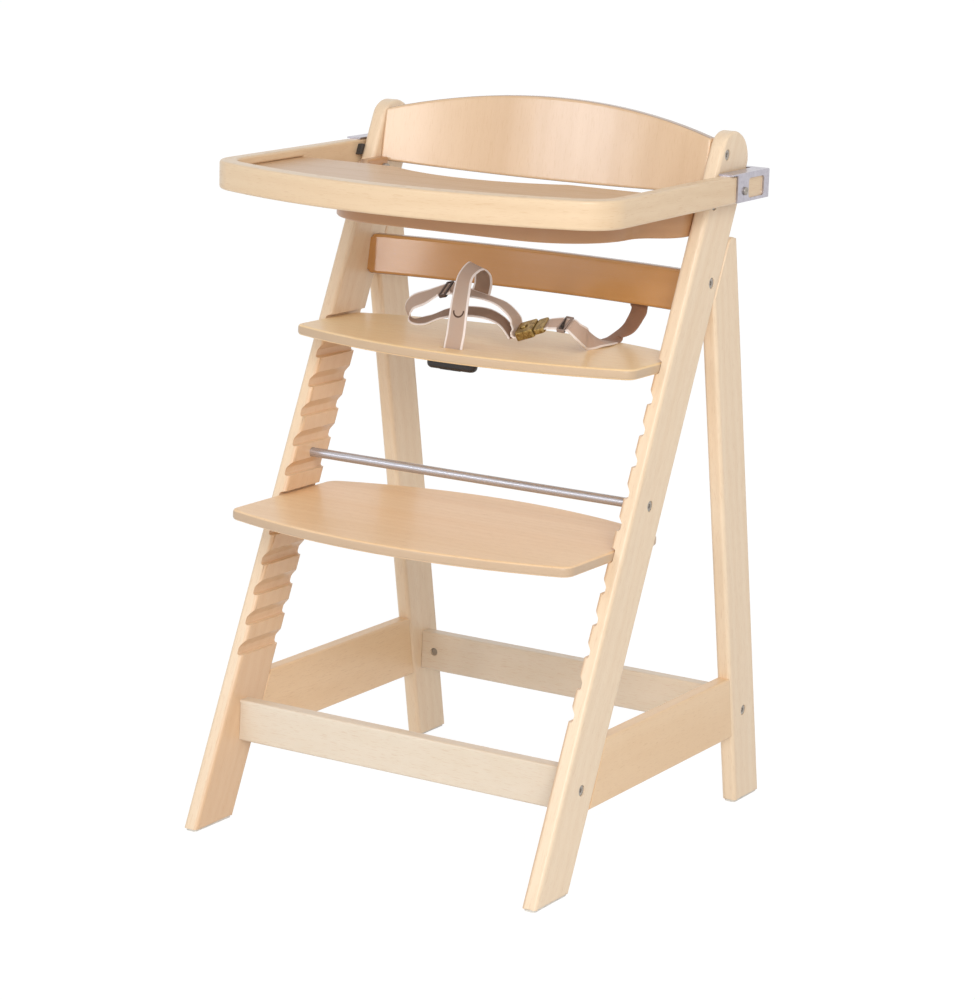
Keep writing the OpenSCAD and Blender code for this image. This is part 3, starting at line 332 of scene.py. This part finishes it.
# Cross bar. A drawn steel tube, 11 mm thick, that keeps the front legs together above the foot board.
# Its ends stand 4 mm deep in the legs and a sunk bolt holds each.
bar_steel = Finish("drawn_steel", Metallic=0.65)
lines = bar_steel.noise(bar_steel.place(), (3, 1500, 1500), 2.0)
clouds = bar_steel.noise(bar_steel.place(), (14, 60, 60), 2.0)
streaky = lines * 0.5 + clouds * 0.5
bar_steel.drive("Base Color", bar_steel.mix(streaky, srgb(206, 204, 208), srgb(164, 161, 166)))
bar_steel.drive("Roughness", 0.20 + lines * 0.14)
bar_steel.bump(lines, 0.08, 0.0001)
eased("cross_bar", "frame", bar_steel, 0.0004)
eased("cross_bar_bolts", "frame", bolt_zinc, 0.0006)

# Glides. Pale hard plastic pads, 3 mm thick, pressed into the feet by two pins each. They are slightly
# scuffed from the mould and the floor.
pad = Finish("glide_plastic")
scuff = pad.noise(pad.place(), 420.0, 4.0, 0.6)
pad.drive("Base Color", pad.mix(scuff.over(0.55, 0.12), srgb(226, 222, 214), srgb(206, 201, 192)))
pad.drive("Roughness", 0.42 + scuff * 0.2)
pad.bump(scuff, 0.15, 0.0003)
for name in ("front_left", "front_right", "rear_left", "rear_right"):
    eased("glide_" + name, "frame", pad, 0.0006)


# Back boards. Beech veneers pressed hollow to the front, the upper one arched along its top, both with
# well rounded edges. A bolt with a barrel nut and a dowel hold each end between the front legs.
def back_board_edges(middle, length, first, second):
    """None on the short edges of the boards' curves, full rounding on the arch's."""
    if length < 0.001 and (abs(middle.x) < 0.2065 or max(abs(first.x), abs(second.x)) > 0.99):
        return 0.0
    return 1.0


board_tilt, board_hollow, board_sag, ply = math.radians(9), 1.1336, 0.02, 0.0031


def veneered(finish, height, depth):
    """Shows the plies on the top and bottom edges of a hollow board that stands at this height and depth."""
    board = finish.node("ShaderNodeMapping", {"vector_type": "TEXTURE"}, {
        "Vector": finish.place(), "Location": (0, depth, height), "Rotation": (-board_tilt, 0, 0)})
    upright = finish.node("ShaderNodeVectorRotate", {"rotation_type": "X_AXIS"}, {
        "Vector": finish.faces(), "Angle": board_tilt})
    edge = finish.split(upright)[2].size().over(0.8, 0.15)
    x, y, _ = finish.split(board)
    outwards = (x * x + (y + (board_hollow - board_sag)) ** 2) ** 0.5 - board_hollow
    plies = (outwards * (2 * math.pi / ply)).sine() * 0.5 + 0.5
    layers = finish.mix(plies, srgb(176, 136, 100), srgb(128, 92, 62))
    finish.drive("Base Color", finish.mix(edge, finish.base, layers))


grain = beech("beech_upper_backrest", (0, 0.156, 0.988), 21.2, (226, 194, 158), (210, 174, 135), 1.0, 0.16)
veneered(grain, 0.765, 0.0833)
eased("upper_backrest", "frame", grain, 0.003, back_board_edges, 4)
# Painted shade: the lower board's darker, redder beech stands for the shadow that the tray casts on it.
grain = beech("beech_lower_backrest", (1, 0, 0), 24.3, (208, 154, 94), (188, 132, 70), 0.8, 0.14)
veneered(grain, 0.627, 0.0615)
eased("lower_backrest", "frame", grain, 0.0038, back_board_edges, 4)
for name in ("backrest_bolts", "backrest_nuts"):
    eased(name, "frame", bolt_zinc, 0.0006)

# Safety rail. One bent beech strip, 12 mm thick, from leg to leg below the tray, bolted through the
# legs behind the tray's arms. It keeps the child in and carries the tray.
grain = beech("beech_safety_rail", (1, 0, 0), 27.9, (194, 147, 103), (177, 127, 84), 0.5, 0.2, bent=True)
eased("safety_rail", "frame", grain, 0.0022, long_edges, 4)
for name in ("safety_rail_bolts", "safety_rail_nuts"):
    eased(name, "frame", bolt_zinc, 0.0006)

# Tray. A bent beech rim, 31 mm high, with arms that pass outside the legs, and a thin veneered panel
# let into a groove on its inner side. The panel's rear edge is cut in a round for the belly.
grain = beech("beech_tray_rim", (1, 0, 0), 31.3, (229, 203, 169), (214, 181, 142), 0.4, 0.2, bent=True)
eased("tray_rim", "tray", grain, 0.003, long_edges, 4)
grain = beech("beech_tray_panel", (1, 0, 0), 35.1, (207, 168, 128), (190, 148, 105), 0.4, 0.2)
eased("tray_panel", "tray", grain, 0.001, long_edges)


# Tray brackets. Bent zinc plated sheet, 2 mm thick, on the ends of the arms, with a window in the
# outer plate and a hook behind each leg. One cross head screw holds each.
def bracket_edges(middle, length, first, second):
    """Rounds the bend between the top plate and the outer plate, and leaves the cut edges sharp."""
    lengthwise = max(abs(first.y), abs(second.y)) < 0.1
    return 0.6 if lengthwise and middle.z > 0.757 and abs(middle.x) > 0.251 else 0.0


sheet_zinc = plated("sheet_zinc", (206, 202, 210), (168, 163, 172), 0.26)
for name in ("left", "right"):
    eased("tray_bracket_" + name, "tray", sheet_zinc, 0.0018, bracket_edges)
eased("bracket_screws", "tray", bolt_zinc, 0.0003)

# Rubber stops. Small dark blocks stuck to the arms' inner faces. They meet the legs' front edges and
# keep the tray from rattling.
rubber = Finish("stop_rubber")
dust = rubber.noise(rubber.place(), 900.0, 3.0)
rubber.drive("Base Color", rubber.mix(dust, srgb(44, 38, 34), srgb(70, 62, 56)))
rubber.drive("Roughness", 0.66 + dust * 0.2)
rubber.bump(dust, 0.2, 0.0003)
for name in ("left", "right"):
    eased("tray_stop_" + name, "tray", rubber, 0.0008)

# Seat and foot board. Flat beech plywood, 12 mm thick, with bowed front and rear edges and rounded
# rims. They slide into the legs' grooves and friction holds them.
# Painted light: the boards' beech is paler than that of the other parts and stands for the light on their
# tops. Their rims get a darker tone.
for name, body, seed, light, dark in (("seat_board", "seat", 40.4, (255, 226, 178), (249, 212, 158)),
                                      ("foot_board", "foot", 43.1, (250, 215, 173), (238, 198, 149))):
    grain = beech("beech_" + name, (1, 0, 0), seed, light, dark)
    rim = 1 - grain.split(grain.faces())[2].size().over(0.55, 0.25)
    grain.drive("Base Color", grain.mix(rim * 0.85, grain.base, srgb(190, 163, 136)))
    eased(name, body, grain, 0.0009, long_edges, segments=2, corner=18)

# Anchor bar. A moulded black bar with round ends under the seat. The crotch strap's folded hem sits in
# its pocket and can't slip up through the slot.
black = Finish("black_plastic")
mould = black.noise(black.place(), 1400.0, 2.0)
black.drive("Base Color", black.mix(mould, srgb(30, 25, 23), srgb(46, 39, 36)))
black.drive("Roughness", 0.34 + mould * 0.18)
black.bump(mould, 0.18, 0.0002)


def anchor_edges(middle, length, first, second):
    """Full rounding below, a fifth of it along the top, and none in the pocket."""
    in_pocket = abs(middle.x - 0.0015) <= 0.0135 and abs(middle.y + 0.1023) <= 0.0055
    return 0.0 if in_pocket else 1.0 if middle.z < 0.54 else 0.2


eased("anchor_bar", "seat", black, 0.0055, anchor_edges, 5)

# Crotch strap. Taupe woven webbing, 24 mm wide and 1.6 mm thick, with pale edges. It comes up through
# the seat's slot, turns over in a loop and goes down behind, where a bar of stitches closes it.
mm, width = 0.001, 24
slot_middle = Vector((0, -0.1023, 0.559))
half_profile = ((-12, 0.3), (-11.6, 0.7), (-10.6, 0.8), (-5, 0.76), (0, 0.74), (5, 0.76), (10.6, 0.8),
                (11.6, 0.7), (12, 0.3))


def spline(keys, number, t):
    """The spot at the share t of the way from one key to the next, on a smooth curve through all keys."""
    last = len(keys) - 1
    a, b, c, d = (Vector(keys[min(max(number + step, 0), last)]) for step in (-1, 0, 1, 2))
    return 0.5 * (2 * b + (c - a) * t + (2 * a - 5 * b + 4 * c - d) * t * t
                  + (3 * b - a - 3 * c + d) * t ** 3)


def strip(name, keys, face, material, steps=10):
    """Webbing along keys of a spot and the direction of its width, in millimetres from the middle of the
    seat's slot. Its pattern runs 0 to 1 over the face, 1 to 2 over the reverse, and on with its length."""
    places, widths = [key[0] for key in keys], [key[1] for key in keys]
    spots = [(number, step / steps) for number in range(len(keys) - 1) for step in range(steps)]
    path = [(spline(places, *spot), spline(widths, *spot)) for spot in spots]
    path.append((Vector(places[-1]), Vector(widths[-1])))
    shape = bmesh.new()
    weave = shape.loops.layers.uv.new("weave")
    rows, run, before = [], 0.0, path[0][0]
    for number, (middle, wide) in enumerate(path):
        ahead = (path[min(number + 1, len(path) - 1)][0] - path[max(number - 1, 0)][0]).normalized()
        wide = (wide - ahead * wide.dot(ahead)).normalized()
        up = ahead.cross(wide) * face
        run += (middle - before).length
        before = middle
        ring = [(x, thick, x / width + 0.5) for x, thick in half_profile]
        ring += [(x, -thick, 1.5 - x / width) for x, thick in reversed(half_profile)]
        rows.append((run / width, [(shape.verts.new((middle + wide * x + up * thick) * mm + slot_middle), u)
                                   for x, thick, u in ring]))
    count = 2 * len(half_profile)
    for (v0, low), (v1, high) in zip(rows, rows[1:]):
        for j in range(count):
            k = (j + 1) % count
            side = shape.faces.new((low[j][0], low[k][0], high[k][0], high[j][0]))
            closing = abs(low[j][1] - low[k][1]) >= 0.9
            u0, u1 = (0.005, 0.005) if closing else (low[j][1], low[k][1])
            for loop, spot in zip(side.loops, ((u0, v0), (u1, v0), (u1, v1), (u0, v1))):
                loop[weave].uv = spot
    for v, row in (rows[0], rows[-1]):
        cap = shape.faces.new([vert for vert, u in row])
        for loop in cap.loops:
            loop[weave].uv = (0.5, v)
    bmesh.ops.recalc_face_normals(shape, faces=shape.faces)
    mesh = bpy.data.meshes.new(name)
    shape.to_mesh(mesh)
    shape.free()
    piece = bpy.data.objects.new(name, mesh)
    bpy.context.scene.collection.objects.link(piece)
    mesh.materials.append(material)
    bpy.context.view_layer.objects.active = piece
    piece.select_set(True)
    bpy.ops.object.shade_smooth_by_angle(angle=math.radians(50))
    piece.select_set(False)
    return piece


def webbing(name, face=(197, 176, 160), reverse=(150, 120, 97), tint=(206, 166, 138),
            border=(250, 238, 230), seam=None):
    """Ribbed webbing with pale edges. Its reverse side gets a darker colour, which is painted shade. A seam
    is an arc of stitches, given by its middle and radius.
    """
    cords, ribs = 16, 20
    finish = Finish(name, Roughness=0.85, Sheen_Weight=0.15)
    u, along, _ = finish.split(finish.node("ShaderNodeUVMap", {"uv_map": "weave"}))
    back = u.over(1.0)
    across = u - back
    edge = (across - 0.5).size().over(0.395, 0.012)
    fuzz = finish.noise(finish.place(), 1500.0, 3.0)
    broad = finish.noise(finish.place(), 60.0, 2.0)
    warp = (across * (2 * math.pi * cords)).sine()
    weft = (along * (2 * math.pi * ribs) + warp * 1.2).sine()
    ribbed = weft * 0.5 + 0.5
    # Painted shade: the reverse side of the webbing is darker.
    body = finish.mix(back, srgb(*face), srgb(*reverse))
    body = finish.mix(broad * 0.5, body, srgb(*tint))
    body = finish.mix(ribbed * 0.16 + fuzz * 0.12, body, srgb(134, 110, 92))
    pale = finish.mix(fuzz * 0.35 + ribbed * 0.15, srgb(*border), srgb(*(0.88 * part for part in border)))
    base = finish.mix(edge, body, pale)
    height = weft * 0.5 + warp * 0.3 + fuzz * 0.4 + edge * 0.5
    if seam:
        x, y, radius = (across - seam[0]) * width, (along - seam[1]) * width, seam[2]
        ring = (((x * x + y * y) ** 0.5 - radius).size() * -1 + 1.5).over(0.5, 0.3)
        thread = ring * (1 - y.over(0.5, 0.5))
        base = finish.mix(thread, base, srgb(84, 58, 44))
        height = height + thread * 0.6
    finish.drive("Base Color", base)
    finish.bump(height, 0.35, 0.0004)
    return finish.material


across = (1, 0, 0)
crotch = strip("crotch_strap_webbing", [
    ((1.5, 2.4, -16.6), across), ((1.5, 2.4, -20), across), ((1.5, 1.2, -21.9), across),
    ((1.5, 0, -20), across), ((1.5, 0, -12), across), ((1.5, 0, 0), across), ((2, 4, 16), across),
    ((1, 9, 34), (1, -0.05, 0)), ((0, 16, 57), (1, -0.15, 0)), ((0, 24, 77.2), (1, -0.25, 0)),
    ((6, 35, 88.2), (1, -0.25, -0.25)), ((6, 50, 80.2), (1, -0.2, -0.1)), ((3, 58, 67.2), (1, -0.1, 0)),
    ((1, 58, 57), across), ((0, 56, 51), across)],
    -1, webbing("crotch_webbing", seam=(0.52, 2.9, 6.5)))
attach(crotch, "seat")
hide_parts("crotch_strap")


# Buckle. A two part clip of moulded plastic with a bronze coloured metal coat, mottled and finely pitted,
# with painted glints as pale gold flecks: a socket with a round release button on the left strap, and the
# tongue on the right strap.
bronze = Finish("buckle_bronze", Metallic=0.75)
patch = bronze.noise(bronze.place(), 210.0, 3.0, 0.6)
pits_and_painted_glints = bronze.noise(bronze.place(), 900.0, 2.0)
mottled = bronze.mix(patch.over(0.5, 0.16), srgb(176, 150, 92), srgb(124, 98, 52))
# Painted highlight: pale gold flecks stand for glints on the metal coat.
bronze.drive("Base Color", bronze.mix(pits_and_painted_glints.over(0.6, 0.08) * 0.6, mottled, srgb(206, 180, 116)))
bronze.drive("Roughness", 0.28 + patch * 0.3)
bronze.bump(patch * 0.7 + pits_and_painted_glints * 0.5, 0.3, 0.0004)
for name, body, radius in (("buckle_socket", "seat", 0.0012), ("buckle_tongue", "tongue", 0.0009),
                           ("release_button", "button", 0.0006)):
    eased(name, body, bronze, radius)


# Left waist strap. The same webbing. It leaves the buckle upwards, passes the crotch strap's loop and a
# slide, turns back in a wide bend at the left and comes back below itself.
def turned(pose, vector):
    """The vector turned about the upright, then tipped up and rolled, as the buckle or slide lies."""
    _, turn, rise, roll = pose
    return (Matrix.Rotation(math.radians(turn), 3, "Z") @ Matrix.Rotation(math.radians(-rise), 3, "Y")
            @ Matrix.Rotation(math.radians(roll), 3, "X")) @ Vector(vector)


def straight(pose, steps):
    """Keys at these steps along the line through a buckle or slide."""
    return [(Vector(pose[0]) + turned(pose, (x, 0, 0)), turned(pose, (0, 1, 0))) for x in steps]


buckle = ((82, 42, 27.5), 8, 20, 20)
left_slide = ((-34, 41, 57), 2, 14, 27)
left = strip(
    "waist_strap_left_webbing",
    straight(buckle, (-16, -20, -24))
    + [((57.5, 41, 27.5), (0, 0.97, 0.15)), ((54, 41, 37), (0, 1, 0)), ((39, 41, 48), (0, 1, 0)),
       ((20, 41, 53), (0, 1, 0)), ((-4, 41, 56), (0, 1, 0.15))]
    + straight(left_slide, (9, 5, -5, -9))
    + [((-59, 40, 46), (-0.2, 0.75, 0.6)), ((-77, 40, 38), (-0.5, 0.65, 0.5)),
       ((-83, 40, 28), (-0.7, 0.65, 0.3)), ((-77, 41, 18.5), (-0.6, 0.8, 0.1)),
       ((-58, 41, 20), (-0.25, 0.93, 0.3)), ((-36, 41, 29.5), (0, 0.92, 0.4)),
       ((-12, 41, 35), (0, 0.93, 0.35)), ((14, 41, 36), (0, 0.95, 0.3)), ((32, 41, 32), (0, 1, 0.15)),
       ((44, 41, 25), (0, 1, 0)), ((55, 41, 13), (0, 1, 0))],
    -1, webbing("left_webbing"), steps=8)
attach(left, "seat")
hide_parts("waist_strap_left")

# Slides. Small moulded frames that the webbing runs through, for taking up its length. The left one is
# dark brown and the right one is greyer.
for side, body, dark, light in (("left", "seat", (66, 48, 42), (92, 70, 60)),
                                ("right", "tongue", (132, 112, 102), (160, 140, 128))):
    slide_plastic = Finish("slide_plastic_" + side)
    mould = slide_plastic.noise(slide_plastic.place(), 1100.0, 2.0)
    slide_plastic.drive("Base Color", slide_plastic.mix(mould, srgb(*dark), srgb(*light)))
    slide_plastic.drive("Roughness", 0.32 + mould * 0.2)
    slide_plastic.bump(mould, 0.2, 0.0002)
    eased("adjuster_" + side, body, slide_plastic, 0.0007)

# Right waist strap. It runs from the buckle's tongue through its slide, turns over and lies down on the
# seat, and goes on to the rear strap.
right_slide = ((117, 44, 34.5), 6, -4, 24)
right = strip(
    "waist_strap_right_webbing",
    straight(buckle, (8, 14, 17))
    + straight(right_slide, (-8, -5, 5, 8))
    + [((131, 49, 27), (-0.25, 0.75, 0.6)), ((129, 68, 19), (-0.25, 0.6, 0.78)),
       ((119, 94, 12.5), (-0.2, 0.3, 0.9)), ((115, 118, 9), (-0.75, 0, 0.65)),
       ((114, 140, 4), (-0.97, 0, 0.2)), ((111, 156, 1.1), (-1, 0, 0))],
    1, webbing("right_webbing", (208, 184, 167), (180, 146, 122), (212, 168, 138)))
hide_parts("waist_strap_right")
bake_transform(right)

# Rear strap and its screw. The webbing goes on over the seat's rear edge and up behind the lower back
# board, where a broad steel screw holds it.
# Painted shade: the rear strap is the same webbing, given dark brown colours and dark edges for the shade
# behind the lower back board.
rear = strip("rear_strap_webbing", [
    ((111, 156, 1.1), (-1, 0, 0)), ((110, 167, 1.3), (-1, 0, 0)), ((111.5, 177, 6), (-0.85, 0.5, -0.1)),
    ((124, 182, 17), (-0.9, 0.45, 0.1)), ((133, 182.5, 33), (-0.93, 0.35, 0)),
    ((135, 181, 43.8), (-0.993, 0.118, 0)), ((135, 183.1, 61.6), (-0.993, 0.118, 0)),
    ((135, 186.2, 81.4), (-0.993, 0.118, 0))],
    1, webbing("rear_webbing", (150, 106, 78), (132, 92, 66), (166, 118, 86), (160, 118, 92)))
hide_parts("waist_strap_rear", "rear_strap")
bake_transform(rear)
eased("strap_screw", "frame", bolt_zinc, 0.0006)

# Floor. One wide pale sheet that reads white to the camera and in reflections, and keeps the chair's
# soft shadow.
bpy.ops.mesh.primitive_plane_add(size=60, location=(0, 0, 0))
floor = bpy.context.object
floor.name = "floor"


def shown_white(wiring):
    """1 for the camera, in gloss and through glass, and 0 where the surface acts as light."""
    seen, in_gloss, in_glass = (wiring.node("ShaderNodeLightPath", output="Is %s Ray" % kind)
                                for kind in ("Camera", "Glossy", "Transmission"))
    return seen + in_gloss + in_glass


paper = Finish("floor_paper", Roughness=0.9, Base_Color=(0.84, 0.84, 0.84, 1))
glow = paper.node("ShaderNodeEmission", {}, {"Color": (1, 1, 1, 1), "Strength": 1.08})
sheet = paper.node("ShaderNodeMixShader", {}, {
    0: shown_white(paper) * 0.88, 1: Socket(paper, paper.shader.outputs[0]), 2: glow})
paper.tree.links.new(sheet.link, paper.tree.nodes["Material Output"].inputs[0])
floor.data.materials.append(paper.material)

# Studio air. An even white surround, full white to the camera and in gloss, and weaker as light.
world = bpy.data.worlds.new("studio")
bpy.context.scene.world = world
world.use_nodes = True
air = Wiring(world.node_tree)
sky = air.tree.nodes["Background"]
sky.inputs["Color"].default_value = (1, 1, 1, 1)
strength = air.node("ShaderNodeMapRange", {}, {"Value": shown_white(air), "To Min": 0.57, "To Max": 1.0})
air.tree.links.new(strength.link, sky.inputs["Strength"])

# Lamps. A wide soft box at the front right, above the tray, two tall narrow ones at the front left,
# whose gloss shows in the hollow of the back boards, and a small low one for the tray's corner.
for name, spot, goal, wide, high, power, tint in (
        ("key", (2.2, -2.8, 2.1), (0, 0, 0.45), 1.9, 1.9, 78, (1, 1, 1)),
        ("left_fill", (-1.92, -2.9, 1.52), (0, 0, 0.7), 0.6, 0.6, 7.5, (0.86, 0.97, 1.12)),
        ("front_fill", (-1.0, -3.36, 1.25), (0, 0, 0.7), 0.32, 1.0, 9.5, (1, 1, 1)),
        ("low_fill", (0.98, -3.15, 0.3), (0.1, 0, 0.7), 0.25, 0.6, 0.8, (1, 1, 1))):
    lamp = bpy.data.lights.new(name, "AREA")
    lamp.shape = "RECTANGLE"
    lamp.size = wide
    lamp.size_y = high
    lamp.energy = power
    lamp.color = tint
    holder = bpy.data.objects.new(name, lamp)
    bpy.context.scene.collection.objects.link(holder)
    holder.matrix_world = Matrix.Translation(Vector(spot)) @ (Vector(goal) - Vector(spot)).to_track_quat(
        "-Z", "Y").to_matrix().to_4x4()

# Camera. It stands at the front right of the chair, a little above the tray, and leans by a small
# angle. Its place and lens come from the chair's own edges.
eye = Vector((1.7417, -3.0028, 1.1290))
aim = Vector((0.03327, -0.0715, 0.35777))
tilt = math.radians(2.302)
ahead = (aim - eye).normalized()
level = ahead.cross(Vector((0, 0, 1))).normalized()
above = level.cross(ahead)
side = level * math.cos(tilt) + above * math.sin(tilt)
top = above * math.cos(tilt) - level * math.sin(tilt)
camera_data = bpy.data.cameras.new("camera")
camera_data.sensor_width = 36
camera_data.lens = 112.012
camera_data.shift_x = 0.00266
camera_data.shift_y = 0.02584
camera_data.clip_start = 0.05
camera_data.clip_end = 100
camera = bpy.data.objects.new("camera", camera_data)
bpy.context.scene.collection.objects.link(camera)
camera.matrix_world = Matrix.Translation(eye) @ Matrix((side, top, -ahead)).transposed().to_4x4()
bpy.context.scene.camera = camera
bpy.context.scene.view_settings.view_transform = "Standard"
